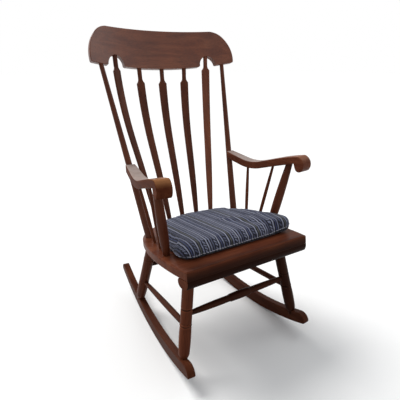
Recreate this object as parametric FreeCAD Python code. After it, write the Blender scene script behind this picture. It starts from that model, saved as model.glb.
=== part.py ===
import FreeCAD, Part
import math
import os

# Boston rocking chair with a loose seat cushion, in millimetres.
# Design frame: the front faces -Y, +Z is up, Y = 0 is the top front edge of the seat.
# At the end every piece moves by one vector, so that the origin is on the floor below the middle.

V = FreeCAD.Vector
UP = V(0, 0, 1)
REARWARD = V(0, 1, 0)

# fits
HOLE_PLAY = 0.12        # radial play of a tenon in its hole
HOLE_END_PLAY = 0.5     # free depth below a tenon
NOTCH_PLAY = 0.15       # play of the arm's notch round the back post
CUSHION_PLAY = 0.3      # clearance below the cushion
RUN_IN = 8.0            # how far a member is drawn into its host before it is cut to fit

# seat board
SEAT_FRONT_Z = 425.0    # height of the top front edge
SEAT_TILT = math.degrees(math.atan(0.127))   # the seat falls to the rear
SEAT_T = 31.0
SEAT_MAX_HALF = 266.0   # half the width where it is largest
SEAT_WIDEST = 162.0     # that place, behind the front edge
SEAT_FRONT_R = 1100.0   # plan radius of the side in front of it
SEAT_SIDE_R = 748.0     # and behind it
SEAT_CORNER_R = 200.0
SEAT_REAR_R = 322.0
SEAT_DEPTH = 508.0
SEAT_RIM = 4.5          # rounding of the plank's rim
NOSE_OUT = 12.0         # how far the front face stands before the top edge

# rolled front under the board
ROLL_DROP = 62.0        # underside below the seat's top
ROLL_BACK = 38.0        # rear of the roll behind the top front edge

# crest rail, a steam-bent board
CREST_R = 710.0         # plan radius of the front face
CREST_T = 21.0
CREST_LEAN = 15.1       # degrees back from upright
CREST_Y = 624.0         # lower middle of the front face
CREST_Z = 998.0
CREST_H = 156.0         # board height at the middle
CREST_HALF = 316.5      # half width at the ears
CREST_EAR_H = 114.0     # height of the upper corner
CREST_NOTCH_X = 207.0   # middle of the notch in the lower edge
CREST_NOTCH_H = 49.5
CREST_NOTCH_HALF = 36.0
CREST_LOW_H = 3.0       # lower edge between the notches
CREST_RIM = 2.2         # rounding of the edges above the lower one

# back posts: base on the seat (x, y), head at the crest's lower edge
POST_BASE = (207.0, 368.0)
POST_HEAD_X = 272.5
POST_HEAD_H = 9.3
POST_FOOT_R = 14.2
POST_PLAIN = 60.0       # untapered length at the foot
POST_HEAD_R = 8.6
POST_TENON_R = 6.5
POST_TENON_L = 22.0
POST_FOOT_TENON_R = 10.0
POST_FOOT_TENON_L = 14.0

# back spindles, from the middle outwards
SPINDLE_BASES = ((0.0, 466.0), (66.0, 459.0), (128.5, 440.0))
SPINDLE_TOPS = ((0.0, 3.0), (104.0, 4.0), (206.5, CREST_NOTCH_H - 1.0))
SPINDLE_BOWS = (20.0, 22.5, 22.0)     # largest distance of each from its chord
SPINDLE_TURNS = (0.0, 8.0, 27.0)      # degrees that each faces outwards
SPINDLE_FOOT_R = 9.3    # turned foot
SPINDLE_FOOT_L = 45.0
SPINDLE_RUNOUT = 190.0  # where the turned foot has run out into the blade
NECK_R = 9.0
NECK_L = 40.0           # turned neck below the crest
SHOULDER_DROP = 55.5    # widest place of the blade below the crest
SHOULDER_HALF = 17.6
BLADE_T = 11.0
BLADE_EDGE = 2.4        # broken edge
SPINDLE_TENON_R = 6.0
SPINDLE_FOOT_TENON_R = 7.0
SPINDLE_TENON_L = 20.0

# arms: plan line from the back post to the scroll, and heights of the top face
ARM_REAR = (235.0, 445.0)
ARM_FRONT = (285.5, 50.0)
ARM_Z = 658.0           # top of the rear end
ARM_OVERHANG = 5.0      # how far the arm passes the post's middle
ARM_T = 30.0
ARM_DIP_AT = 141.0      # corner of the hollow, from the rear
ARM_DIP = 23.0
ARM_DIP_R = 220.0
ARM_SLOPE = 0.325       # rise towards the scroll
ARM_RISE_END = 262.0    # where the straight rise ends
ARM_REAR_HALF = 19.0
ARM_MID_HALF = 26.0
ARM_FRONT_HALF = 24.8
ARM_RIM = 3.5
SCROLL_AT = 401.0       # front of the scroll
SCROLL_TOP = 703.5
SCROLL_LOW = 646.0
SCROLL_THICK = 39.0

# arm post and thin arm spindles: base on the seat (x, y), head in the arm (x, y)
ARM_POST_BASE = (234.0, 161.0)
ARM_POST_HEAD = (277.0, 126.0)
ARM_POST_R = (11.6, 17.0, 11.9)       # base, belly, head
ARM_POST_BELLY = 0.36                 # share of its length
ARM_POST_TENON_R = 8.0
ARM_POST_TENON_L = 14.0
ROD_FRONT_BASE = (224.5, 228.0)
ROD_FRONT_HEAD = (266.5, 203.0)
ROD_REAR_BASE = (216.5, 294.0)
ROD_REAR_HEAD = (249.5, 338.0)
ROD_R = (5.0, 6.9, 4.8)
ROD_BELLY = 0.42
ROD_TENON_R = 4.0
ROD_TENON_L = 12.0
SIDE_TENON_L = 18.0     # depth of these members in the seat

# legs: two points (x, y, z) on each axis, high and low
FRONT_LEG = ((207.0, 63.0, 309.0), (249.0, 22.0, 83.0))
REAR_LEG = ((212.0, 367.0, 290.0), (226.0, 448.0, 72.0))
LEG_R = 20.2
LEG_BELLY_R = 21.0      # in the lower third
LEG_FOOT_R = 13.6
RING_DEPTH = 2.0        # scored grooves
FRONT_GROOVE_Z = 248.0
FRONT_BEAD_Z = 193.0
REAR_BEAD_Z = 283.0
REAR_GROOVE_Z = 165.0
LEG_TENON_R = 12.0
LEG_TENON_L = 15.0      # with the back post's tenon it stays inside the board
FOOT_TENON_R = 8.5
FOOT_TENON_L = 20.0

# stretchers: heights of their axes on the legs
SIDE_FRONT_Z = 190.0
SIDE_REAR_Z = 156.0
SIDE_R = (10.2, 11.4, 7.9)            # front end, belly, rear end
SIDE_BELLY = 0.32
FRONT_STRETCHER_Z = 227.0
REAR_STRETCHER_Z = 248.0
STRETCHER_END_R = 8.5
STRETCHER_SHOULDER_R = 12.0
STRETCHER_BELLY_R = 15.2
STRETCHER_BELLY_HALF = 44.0           # half length of the turned belly
STRETCHER_TENON_R = 6.0
STRETCHER_TENON_L = 16.0

# rockers
ROCKER_R = 1000.0       # radius of the running edge
ROCKER_Y = 281.2        # where it touches the floor, below the chair's centre of mass
ROCKER_X0 = 257.0       # middle plane at Y = 0
ROCKER_SLOPE = -0.072   # the pair closes to the rear
ROCKER_T = 28.0
ROCKER_H = 46.0
ROCKER_FRONT_Y = -55.0
ROCKER_REAR_Y = 684.0
ROCKER_REAR_DROP = 11.0  # the band is this much lower at its rear tip
ROCKER_RIM = 3.0

# cushion, in the seat's own plane
CUSHION_FRONT_Y = 50.0
CUSHION_REAR_Y = 440.0
CUSHION_FRONT_HALF = 233.0
CUSHION_REAR_HALF = 182.0
CUSHION_WAIST = 17.0    # the sides are drawn in by this
CUSHION_CORNER_R = 52.0
CUSHION_REAR_BOW = 24.0
CUSHION_T = 56.0        # at the crown
CUSHION_BELT = 25.0     # height of the fullest line
CUSHION_ASIDE = 7.0     # it lies this much to the right


def frame(origin, along, hint):
    """Placement at the origin with its Z along the member and its Y near the hint."""
    z = V(along).normalize()
    x = V(hint).cross(z).normalize()
    y = z.cross(x)
    return FreeCAD.Placement(FreeCAD.Matrix(
        x.x, y.x, z.x, origin.x, x.y, y.y, z.y, origin.y, x.z, y.z, z.z, origin.z, 0, 0, 0, 1))


def placed(shape, placement):
    out = shape.copy()
    out.Placement = placement.multiply(out.Placement)
    return out


def mirrored(shape):
    return shape.mirror(V(0, 0, 0), V(1, 0, 0))


def wire_of(points):
    """Closed wire; an item is a point, or ('arc', middle) before the point it leads to."""
    edges = []
    last = V(*points[0])
    middle = None
    for item in points[1:] + [points[0]]:
        if item[0] == "arc":
            middle = V(*item[1])
            continue
        here = V(*item)
        if middle is not None:
            edges.append(Part.Arc(last, middle, here).toShape())
        elif (here - last).Length > 1e-6:
            edges.append(Part.makeLine(last, here))
        last = here
        middle = None
    return Part.Wire(edges)


def lifted(items, put):
    """The list with each 2D pair set into space by put, arcs too."""
    return [("arc", put(*item[1])) if item[0] == "arc" else put(*item) for item in items]


def backwards(items):
    """The same open path from its end to its start."""
    return list(reversed(items))


def both_sides(right):
    """Closed outline from the right half of a path that starts and ends on the middle line."""
    def flip(item):
        return ("arc", (-item[1][0], item[1][1])) if item[0] == "arc" else (-item[0], item[1])
    left = [flip(item) for item in backwards(right)]
    return right + left[1:-1]


def corner_arc(a, b, c, radius):
    """Start, middle and end of the arc that rounds the corner b between the points a and c."""
    to_a = V(a[0] - b[0], a[1] - b[1], 0).normalize()
    to_c = V(c[0] - b[0], c[1] - b[1], 0).normalize()
    half = to_a.getAngle(to_c) / 2.0
    reach = radius / math.tan(half)
    inner = (to_a + to_c).normalize() * (radius / math.sin(half) - radius)
    return ((b[0] + to_a.x * reach, b[1] + to_a.y * reach), (b[0] + inner.x, b[1] + inner.y),
            (b[0] + to_c.x * reach, b[1] + to_c.y * reach))


def turned(profile):
    """Solid of revolution about Z from (radius, height) pairs and arcs."""
    start = [(0.0, profile[0][1])]
    end = [(0.0, profile[-1][1])]
    outline = lifted(start + profile + end, lambda r, z: (r, 0.0, z))
    return Part.Face(wire_of(outline)).revolve(V(0, 0, 0), UP, 360)


def swelled(length, radii, belly):
    """Turned member along Z, thickest at this share of its length, smooth over the belly."""
    foot, most, head = radii
    at = belly * length
    low = (most - (most - foot) / 4.0, at / 2.0)
    high = (most - (most - head) / 4.0, (at + length) / 2.0)
    return turned([(foot, -RUN_IN), (foot, 0.0), ("arc", low), (most, at),
                   ("arc", high), (head, length), (head, length + RUN_IN)])


def set_between(body, a, b, spin=0.0):
    """The body along Z, with its zero at a, turned towards b; spin turns its seam aside."""
    body = body.copy()
    body.rotate(V(0, 0, 0), UP, spin)
    return placed(body, frame(a, b - a, REARWARD if abs((b - a).y) < 0.9 * (b - a).Length else UP))


def pin_and_hole(point, way, radius, length):
    start = point - way * 12.0
    pin = Part.makeCylinder(radius, 12.0 + length, start, way)
    hole = Part.makeCylinder(radius + HOLE_PLAY, 12.0 + length + HOLE_END_PLAY, start, way)
    return pin, hole


def pinned(parts, guest, host, point, way, radius, length):
    """Cuts the guest's end to the host's surface and gives it a tenon in a blind hole."""
    way = V(way).normalize()
    pin, hole = pin_and_hole(point, way, radius, length)
    parts[guest] = parts[guest].cut(parts[host]).fuse(pin).removeSplitter()
    parts[host] = parts[host].cut(hole)
    if not host.endswith("_right") and abs(point.x) > radius:
        parts[host] = parts[host].cut(mirrored(hole))


def seat_slope():
    return math.tan(math.radians(SEAT_TILT))


def seat_point(x, y):
    return V(x, y, SEAT_FRONT_Z - seat_slope() * y)


def seat_placement():
    turn = FreeCAD.Rotation(V(1, 0, 0), -SEAT_TILT)
    return FreeCAD.Placement(V(0, 0, SEAT_FRONT_Z), turn)


def meeting(c1, r1, c2, r2):
    """The meeting point of two circles that lies farther to the rear."""
    dx, dy = c2[0] - c1[0], c2[1] - c1[1]
    d = math.hypot(dx, dy)
    a = (r1 * r1 - r2 * r2 + d * d) / (2.0 * d)
    h = math.sqrt(r1 * r1 - a * a)
    spots = [(c1[0] + (a * dx - s * h * dy) / d, c1[1] + (a * dy + s * h * dx) / d) for s in (1, -1)]
    return max(spots, key=lambda p: p[1])


def on_circle(centre, radius, towards):
    """Where the ray from the centre towards a point crosses the circle."""
    dx, dy = towards[0] - centre[0], towards[1] - centre[1]
    k = radius / math.hypot(dx, dy)
    return (centre[0] + dx * k, centre[1] + dy * k)


def seat_half():
    """Right half of the seat's plan: side, tangent corner and rear arcs, from the front middle."""
    front = -NOSE_OUT - 4.0
    widest = (SEAT_MAX_HALF, SEAT_WIDEST)
    fore = (SEAT_MAX_HALF - SEAT_FRONT_R, SEAT_WIDEST)
    side = (SEAT_MAX_HALF - SEAT_SIDE_R, SEAT_WIDEST)
    rear = (0.0, SEAT_DEPTH - SEAT_REAR_R)
    corner = meeting(side, SEAT_SIDE_R - SEAT_CORNER_R, rear, SEAT_REAR_R - SEAT_CORNER_R)
    p1 = (fore[0] + math.sqrt(SEAT_FRONT_R ** 2 - (front - SEAT_WIDEST) ** 2), front)
    p3 = on_circle(side, SEAT_SIDE_R, corner)
    p4 = on_circle(rear, SEAT_REAR_R, corner)

    def middle(centre, radius, a, b):
        return on_circle(centre, radius, ((a[0] + b[0]) / 2.0, (a[1] + b[1]) / 2.0))
    top = (0.0, SEAT_DEPTH)
    return [(0.0, front), p1, ("arc", middle(fore, SEAT_FRONT_R, p1, widest)), widest,
            ("arc", middle(side, SEAT_SIDE_R, widest, p3)), p3,
            ("arc", middle(corner, SEAT_CORNER_R, p3, p4)), p4,
            ("arc", middle(rear, SEAT_REAR_R, p4, top)), top]


def seat_plan():
    outline = lifted(both_sides(seat_half()), lambda x, u: (x, u, 0.0))
    return Part.Face(wire_of(outline))


def side_block(points):
    """Solid across the whole seat from a closed outline of (u, w) points in the seat's frame."""
    half = SEAT_MAX_HALF + 40.0
    outline = lifted(points, lambda u, w: (-half, u, w))
    return Part.Face(wire_of(outline)).extrude(V(2.0 * half, 0, 0))


def make_seat():
    slab = seat_plan().extrude(V(0, 0, -SEAT_T))
    rims = [e for e in slab.Edges if e.BoundBox.ZLength < 1e-6 and e.BoundBox.YMax > 0]
    slab = slab.makeFillet(SEAT_RIM, rims)
    far = SEAT_DEPTH + 20.0
    nose = [(-NOSE_OUT / 2.0, 0), ("arc", (-NOSE_OUT + 2.5, -2.0)), (-NOSE_OUT + 1.0, -6.5),
            (-NOSE_OUT, -SEAT_T), (far, -SEAT_T), (far, 0)]
    return placed(slab.common(side_block(nose)), seat_placement())


def make_roll():
    plan = seat_plan().extrude(V(0, 0, -ROLL_DROP - 40.0))
    lobe = [(-NOSE_OUT, -SEAT_T), ("arc", (-NOSE_OUT + 1.5, -ROLL_DROP + 14.0)), (-4, -ROLL_DROP + 3),
            ("arc", (-1, -ROLL_DROP + 0.5)), (4, -ROLL_DROP), (ROLL_BACK - 16.0, -ROLL_DROP),
            ("arc", (ROLL_BACK - 5.0, -ROLL_DROP + 6)), (ROLL_BACK, -ROLL_DROP + 18.0),
            ("arc", (ROLL_BACK - 0.5, -ROLL_DROP + 25.0)), (ROLL_BACK - 4.0, -SEAT_T)]
    return placed(side_block(lobe).common(plan), seat_placement())


def crest_point(x, height):
    """Point in the middle of the crest board's thickness, at this height along the board."""
    radius = CREST_R + CREST_T / 2.0
    sag = -CREST_R + math.sqrt(radius * radius - x * x)
    lean = math.radians(CREST_LEAN)
    y = CREST_Y + sag * math.cos(lean) + height * math.sin(lean)
    z = CREST_Z - sag * math.sin(lean) + height * math.cos(lean)
    return V(x, y, z)


def crest_half():
    """Right half of the crest's face: lower edge with its notch, ear and shallow top arch."""
    a, b = CREST_NOTCH_X - CREST_NOTCH_HALF, CREST_NOTCH_X + CREST_NOTCH_HALF
    n, w, h, e = CREST_NOTCH_H, CREST_HALF, CREST_H, CREST_EAR_H
    low = CREST_LOW_H
    return [(0, low), ("arc", (a * 0.54, low + 0.7)), (a - 3, low + 3.0), (a + 3, low + 7.0),
            ("arc", (a + 15, n - 9)), (CREST_NOTCH_X, n), ("arc", (b - 14, n - 11)), (b, low + 7.5),
            (b + 5, low + 4.5), (w - 7, low + 8.0), ("arc", (w - 2, low + 10.0)), (w, low + 15.0),
            ("arc", (w - 7, e - 38)), (w - 27, e), ("arc", (w - 51, e + 24.5)), (w - 84, h - 4.5),
            ("arc", (w * 0.37, h - 1.2)), (0, h)]


def on_a_face(edge):
    """Whether the edge bounds the crest's front or rear face, before the board leans."""
    reach = [math.hypot(v.X, v.Y + CREST_R) - CREST_R for v in edge.Vertexes]
    return max(reach) < 0.01 or min(reach) > CREST_T - 0.01


def make_crest():
    outline = lifted(both_sides(crest_half()), lambda x, h: (x, -CREST_HALF / 2.0, h))
    block = Part.Face(wire_of(outline)).extrude(V(0, CREST_HALF, 0))
    centre = V(0, -CREST_R, -20)
    outer = Part.makeCylinder(CREST_R + CREST_T, CREST_H + 60, centre)
    inner = Part.makeCylinder(CREST_R, CREST_H + 60, centre)
    board = block.common(outer.cut(inner))
    rims = [e for e in board.Edges if on_a_face(e) and e.BoundBox.ZMin > CREST_LOW_H + 7.7]
    board = board.makeFillet(CREST_RIM, rims)
    turn = FreeCAD.Rotation(V(1, 0, 0), -CREST_LEAN)
    return placed(board, FreeCAD.Placement(V(0, CREST_Y, CREST_Z), turn))


def post_line():
    return seat_point(*POST_BASE), crest_point(POST_HEAD_X, POST_HEAD_H)


def post_body(play):
    base, head = post_line()
    length = (head - base).Length
    foot, top = POST_FOOT_R + play, POST_HEAD_R + play
    body = turned([(foot, -RUN_IN), (foot, POST_PLAIN), (top, length), (top, length + RUN_IN)])
    return set_between(body, base, head)


def add_back_post(parts):
    base, head = post_line()
    parts["back_post_right"] = post_body(0.0)
    pinned(parts, "back_post_right", "seat_board", base, base - head, POST_FOOT_TENON_R,
           POST_FOOT_TENON_L)
    pinned(parts, "back_post_right", "crest_rail", head, head - base, POST_TENON_R, POST_TENON_L)


def spindle_blade(length, bow):
    """Flat bowed blade along Z: its front outline meets its bowed side outline."""
    shoulder = length - SHOULDER_DROP
    end = length - NECK_L + 4.0
    face = [(0, 6), (8.6, 6), ("arc", (12.2, 110)), (14.6, 0.42 * length), (SHOULDER_HALF, shoulder),
            ("arc", (11.6, shoulder + 7)), (8.6, end), (0, end)]
    front = Part.Face(wire_of(lifted(both_sides(face), lambda x, z: (x, -60.0, z))))
    half = BLADE_T / 2.0

    def line(offset):
        # share of the length, share of the bow: nearly straight low down, fullest at two thirds
        low, mid, high = 0.369 * length, 0.526 * length, length
        return [(offset, 0), ("arc", (0.143 * bow + offset, 0.184 * length)),
                (0.478 * bow + offset, low), (0.837 * bow + offset, mid),
                ("arc", (bow + offset, 0.684 * length)), (offset, high)]
    rear = line(half)
    side = Part.Face(wire_of(lifted(line(-half) + backwards(rear), lambda y, z: (-60.0, y, z))))
    blade = front.extrude(V(0, 120, 0)).common(side.extrude(V(120, 0, 0)))
    return blade.makeChamfer(BLADE_EDGE, long_edges(blade))


def long_edges(blade):
    return [e for e in blade.Edges if e.BoundBox.ZLength > 6.0]


def spindle_blank(length, bow):
    """Arrow spindle along Z: turned foot and neck with the flat blade between them."""
    inside = 0.4 * BLADE_T
    foot = turned([(SPINDLE_FOOT_R, -RUN_IN), (SPINDLE_FOOT_R, SPINDLE_FOOT_L), (inside, SPINDLE_RUNOUT)])
    foot = set_between(foot, V(0, 0, 0), V(0, 0.3 * bow, SPINDLE_RUNOUT), 37.0)
    start = V(0, 0.49 * bow, length - SHOULDER_DROP - 3.0)
    end = V(0, 0, length)
    run = (end - start).Length
    neck = turned([(inside, 0.0), (NECK_R, run - NECK_L), (NECK_R, run + RUN_IN)])
    neck = set_between(neck, start, end, 37.0)
    return spindle_blade(length, bow).fuse([foot, neck], 0.005).removeSplitter()


def add_spindle(parts, number, foot, top):
    """Spindle between the seat and the crest, and its twin on the left where it has one."""
    a, b = seat_point(*foot), crest_point(*top)
    turn = math.radians(SPINDLE_TURNS[number])
    facing = V(math.sin(turn), math.cos(turn), 0)
    name = "back_spindle_%d" % (3 + number)
    parts[name] = placed(spindle_blank((b - a).Length, SPINDLE_BOWS[number]), frame(a, b - a, facing))
    pinned(parts, name, "seat_board", a, a - b, SPINDLE_FOOT_TENON_R, SPINDLE_TENON_L)
    pinned(parts, name, "crest_rail", b, b - a, SPINDLE_TENON_R, SPINDLE_TENON_L)
    if number:
        parts["back_spindle_%d" % (3 - number)] = mirrored(parts[name])


def arm_line(level):
    """Top or underside of the arm in its own side view: rear end, tangent hollow, rise."""
    rear = (-ARM_OVERHANG, ARM_Z - level)
    dip = (ARM_DIP_AT, ARM_Z - ARM_DIP - level)
    rise = (ARM_RISE_END, dip[1] + ARM_SLOPE * (ARM_RISE_END - ARM_DIP_AT))
    a, m, b = corner_arc(rear, dip, rise, ARM_DIP_R + level)
    return [rear, a, ("arc", m), b, rise]


def arm_side():
    """Closed side outline of the arm, with its scroll rolled down at the front."""
    front, top, low = SCROLL_AT, SCROLL_TOP, SCROLL_LOW
    back = front - SCROLL_THICK
    scroll = [("arc", (front - 82, top - 12.0)), (front - 31, top), ("arc", (front - 22, top - 1.2)),
              (front - 15, top - 5.0), ("arc", (front, top - 27)), (front - 4, low + 10),
              ("arc", (front - 18.5, low)), (front - 33, low + 6), ("arc", (back, low + 18)),
              (back - 3, low + 28)]
    return arm_line(0.0) + scroll + backwards(arm_line(ARM_T))


def make_arm():
    """Arm along X in its own frame, rear to front, then set to its plan line."""
    block = Part.Face(wire_of(lifted(arm_side(), lambda v, z: (v, -40.0, z)))).extrude(V(0, 80, 0))
    rear, front, tip = ARM_REAR_HALF, ARM_FRONT_HALF, SCROLL_AT + 5.0
    middle = (rear + front) / 2.0 + (ARM_MID_HALF - front) + (front - rear) / 2.0
    low = ARM_Z - 80.0
    plan = wire_of([(-ARM_OVERHANG, -rear, low), ("arc", (tip / 2.0, -middle, low)), (tip, -front, low),
                    (tip, front, low), ("arc", (tip / 2.0, middle, low)), (-ARM_OVERHANG, rear, low)])
    arm = block.common(Part.Face(plan).extrude(V(0, 0, 150)))
    rims = [e for e in arm.Edges if e.BoundBox.YLength < 7.0 and e.BoundBox.XLength > 6.0]
    arm = arm.makeFillet(ARM_RIM, rims)
    a, b = V(*ARM_REAR, 0), V(*ARM_FRONT, 0)
    return placed(arm, arm_placement(a, b))


def arm_placement(a, b):
    angle = math.degrees(math.atan2(b.y - a.y, b.x - a.x))
    return FreeCAD.Placement(a, FreeCAD.Rotation(UP, angle))


def in_arm(x, y):
    """Point on the arm's middle level above a plan point; the arm falls and rises along its line."""
    a, b = V(*ARM_REAR, 0), V(*ARM_FRONT, 0)
    run = (V(x, y, 0) - a).dot((b - a).normalize())
    fall = ARM_DIP / (ARM_DIP_AT + ARM_OVERHANG)
    down = fall * (run + ARM_OVERHANG)
    up = ARM_DIP - ARM_SLOPE * (run - ARM_DIP_AT)
    blend = ARM_DIP_R * 0.028
    level = ARM_Z - min(down, up) - ARM_T
    near = max(0.0, 1.0 - abs(run - ARM_DIP_AT) / 50.0)
    return V(x, y, level + blend * near)


def add_arm_member(parts, name, base, head, radii, belly, tenon_r, tenon_l):
    a, b = seat_point(*base), in_arm(*head)
    parts[name] = set_between(swelled((b - a).Length, radii, belly), a, b)
    pinned(parts, name, "seat_board", a, a - b, tenon_r, SIDE_TENON_L)
    pinned(parts, name, "arm_right", b, b - a, tenon_r, tenon_l)


def add_arm(parts):
    parts["arm_right"] = make_arm().cut(post_body(NOTCH_PLAY))
    add_arm_member(parts, "arm_post_right", ARM_POST_BASE, ARM_POST_HEAD, ARM_POST_R,
                   ARM_POST_BELLY, ARM_POST_TENON_R, ARM_POST_TENON_L)
    add_arm_member(parts, "arm_spindle_front_right", ROD_FRONT_BASE, ROD_FRONT_HEAD, ROD_R,
                   ROD_BELLY, ROD_TENON_R, ROD_TENON_L)
    add_arm_member(parts, "arm_spindle_rear_right", ROD_REAR_BASE, ROD_REAR_HEAD, ROD_R,
                   ROD_BELLY, ROD_TENON_R, ROD_TENON_L)


def rocker_z(y):
    return ROCKER_R - math.sqrt(ROCKER_R ** 2 - (y - ROCKER_Y) ** 2)


def tip_edge(band, at_front, at_top):
    """The straight edge across a tip of the band, at its top or bottom corner."""
    middle = (ROCKER_FRONT_Y + ROCKER_REAR_Y) / 2.0
    found = [e for e in band.Edges if e.BoundBox.YLength < 1e-6 and e.BoundBox.ZLength < 1e-6]
    found = [e for e in found if (e.BoundBox.YMin < middle) == at_front]
    found.sort(key=lambda e: e.BoundBox.ZMin)
    return found[-1] if at_top else found[0]


def make_rocker():
    """Curved band in side view with rounded tips, then set to its plan line."""
    front, rear, crown = ROCKER_FRONT_Y, ROCKER_REAR_Y, ROCKER_Y + 20.0
    outline = [(front, rocker_z(front)), ("arc", (ROCKER_Y, 0.0)), (rear, rocker_z(rear)),
               (rear, rocker_z(rear) + ROCKER_H - ROCKER_REAR_DROP),
               ("arc", (crown, rocker_z(crown) + ROCKER_H)), (front, rocker_z(front) + ROCKER_H - 1.0)]
    face = Part.Face(wire_of(lifted(outline, lambda y, z: (-ROCKER_T / 2.0, y, z))))
    band = face.extrude(V(ROCKER_T, 0, 0))
    for at_front, at_top, radius in ((True, True, 31.0), (True, False, 11.0),
                                     (False, True, 17.0), (False, False, 11.0)):
        band = band.makeFillet(radius, [tip_edge(band, at_front, at_top)])
    band = band.makeFillet(ROCKER_RIM, [e for e in band.Edges if e.BoundBox.XLength < 1e-6])
    band.translate(V(0, -ROCKER_Y, 0))
    turn = FreeCAD.Rotation(UP, math.degrees(math.atan(-ROCKER_SLOPE)))
    spot = V(ROCKER_X0 + ROCKER_SLOPE * ROCKER_Y, ROCKER_Y, 0)
    return placed(band, FreeCAD.Placement(spot, turn))


def at_height(line, z):
    a, b = V(*line[0]), V(*line[1])
    return a + (b - a) * ((z - a.z) / (b.z - a.z))


def leg_top(line):
    """Where the leg's axis meets the underside of the seat board."""
    a, b = V(*line[0]), V(*line[1])
    drop = SEAT_T / math.cos(math.radians(SEAT_TILT))
    d = b - a
    t = (SEAT_FRONT_Z - drop - seat_slope() * a.y - a.z) / (d.z + seat_slope() * d.y)
    return a + d * t


def leg_foot(line):
    """Where the leg's axis meets the top of the rocker."""
    low, high = at_height(line, 0.0), at_height(line, 300.0)
    for _ in range(40):
        middle = (low + high) * 0.5
        if middle.z > rocker_z(middle.y) + ROCKER_H:
            high = middle
        else:
            low = middle
    return low


def groove(depth):
    return [(LEG_R, -depth + 3.0), (LEG_R - RING_DEPTH, -depth), (LEG_R, -depth - 3.0)]


def bead(depth):
    low = LEG_R - RING_DEPTH
    return [(LEG_R, -depth + 6.5), (low, -depth + 3.6), ("arc", (LEG_R + 0.9, -depth)),
            (low, -depth - 3.6), (LEG_R, -depth - 6.5)]


def turned_leg(length, rings):
    """Leg down from its top at zero, with rings, a slight belly and a rounded foot."""
    profile = [(LEG_R - 0.4, RUN_IN + 6.0), (LEG_R, -20.0)]
    for ring in rings:
        profile += ring
    belly = (profile[-1][1] + 22.0 - length) / 2.0
    profile += [("arc", (LEG_BELLY_R, belly)), (LEG_R - 0.6, 22.0 - length),
                ("arc", (LEG_R - 2.4, 9.0 - length)), (LEG_FOOT_R, -length),
                (LEG_FOOT_R - 0.6, -length - 2.0 * RUN_IN)]
    return turned(profile)


def add_leg(parts, name, line, rings):
    top, foot = leg_top(line), leg_foot(line)
    way = (foot - top).normalize()
    cuts = [kind((top.z - z) / -way.z) for z, kind in rings]
    leg = turned_leg((foot - top).Length, cuts)
    parts[name] = placed(leg, frame(top, top - foot, REARWARD))
    pinned(parts, name, "seat_board", top, top - foot, LEG_TENON_R, LEG_TENON_L)
    pinned(parts, name, "rocker_right", foot, foot - top, FOOT_TENON_R, FOOT_TENON_L)


def add_side_stretcher(parts):
    a, b = at_height(FRONT_LEG, SIDE_FRONT_Z), at_height(REAR_LEG, SIDE_REAR_Z)
    way = (b - a).normalize()
    inset = LEG_R - 4.0
    a, b = a + way * inset, b - way * inset
    name = "side_stretcher_right"
    parts[name] = set_between(swelled((b - a).Length, SIDE_R, SIDE_BELLY), a, b)
    pinned(parts, name, "leg_front_right", a, a - b, STRETCHER_TENON_R, STRETCHER_TENON_L)
    pinned(parts, name, "leg_rear_right", b, b - a, STRETCHER_TENON_R, STRETCHER_TENON_L)


def cross_bar(length):
    """Turned bar along Z about its middle: slim ends, tapers and a full belly with steps."""
    end, neck, full, half = STRETCHER_END_R, STRETCHER_SHOULDER_R, STRETCHER_BELLY_R, STRETCHER_BELLY_HALF
    reach = length / 2.0
    rise = (neck + end) / 2.0 + 1.4
    mid = (reach + half) / 2.0 + 5.0
    return turned([(end, -reach - RUN_IN), (end, -reach), ("arc", (rise, -mid)), (neck, -half - 8),
                   (full - 2.4, -half - 1), (full - 1.0, -half + 3), ("arc", (full, 0)),
                   (full - 1.0, half - 3), (full - 2.4, half + 1), (neck, half + 8),
                   ("arc", (rise, mid)), (end, reach), (end, reach + RUN_IN)])


def add_cross_stretcher(parts, name, leg, line, z):
    """Bar between the left and right legs; both its ends are cut to them."""
    p = at_height(line, z)
    spot = V(p.x - LEG_R + 4.0, p.y, p.z)
    bar = placed(cross_bar(2.0 * spot.x), frame(V(0, p.y, p.z), V(1, 0, 0), REARWARD))
    pin, hole = pin_and_hole(spot, V(1, 0, 0), STRETCHER_TENON_R, STRETCHER_TENON_L)
    bar = bar.cut([parts[leg], mirrored(parts[leg])])
    parts[name] = bar.fuse([pin, mirrored(pin)]).removeSplitter()
    parts[leg] = parts[leg].cut(hole)


def cushion_half(inset):
    """Right half of the cushion's outline, drawn in all round by the inset."""
    r = CUSHION_CORNER_R - 0.35 * inset
    f, b = CUSHION_FRONT_Y + inset, CUSHION_REAR_Y - inset
    wf, wr = CUSHION_FRONT_HALF - inset, CUSHION_REAR_HALF - inset
    side = b - CUSHION_REAR_BOW - r
    waist = ((wf + wr) / 2.0 - CUSHION_WAIST, (f + r + side) / 2.0)
    cut = 0.293 * r
    rear_x = wr - r
    return [(0, f), (wf - r, f + 2.0), ("arc", (wf - cut, f + 2.0 + cut)), (wf, f + r),
            ("arc", waist), (wr, side), ("arc", (wr - cut, side + r * 0.68)), (rear_x, side + r * 0.93),
            ("arc", (rear_x / 2.0, b - 0.25 * (b - side - r * 0.93))), (0, b)]


def cushion_wire(inset, level):
    outline = lifted(both_sides(cushion_half(inset)), lambda x, u: (x + CUSHION_ASIDE, u, level))
    return wire_of(outline)


def make_cushion():
    """Box cushion: drawn-in lower edge, fullest at the belt, rounded shoulder and crown."""
    belt, top = CUSHION_BELT, CUSHION_T
    layers = [(13.0, CUSHION_PLAY), (3.0, 0.4 * belt), (0.0, belt), (3.5, 0.66 * top),
              (15.0, 0.84 * top), (50.0, 0.95 * top), (110.0, top)]
    body = Part.makeLoft([cushion_wire(inset, level) for inset, level in layers], True, False)
    return placed(body, seat_placement())


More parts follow.
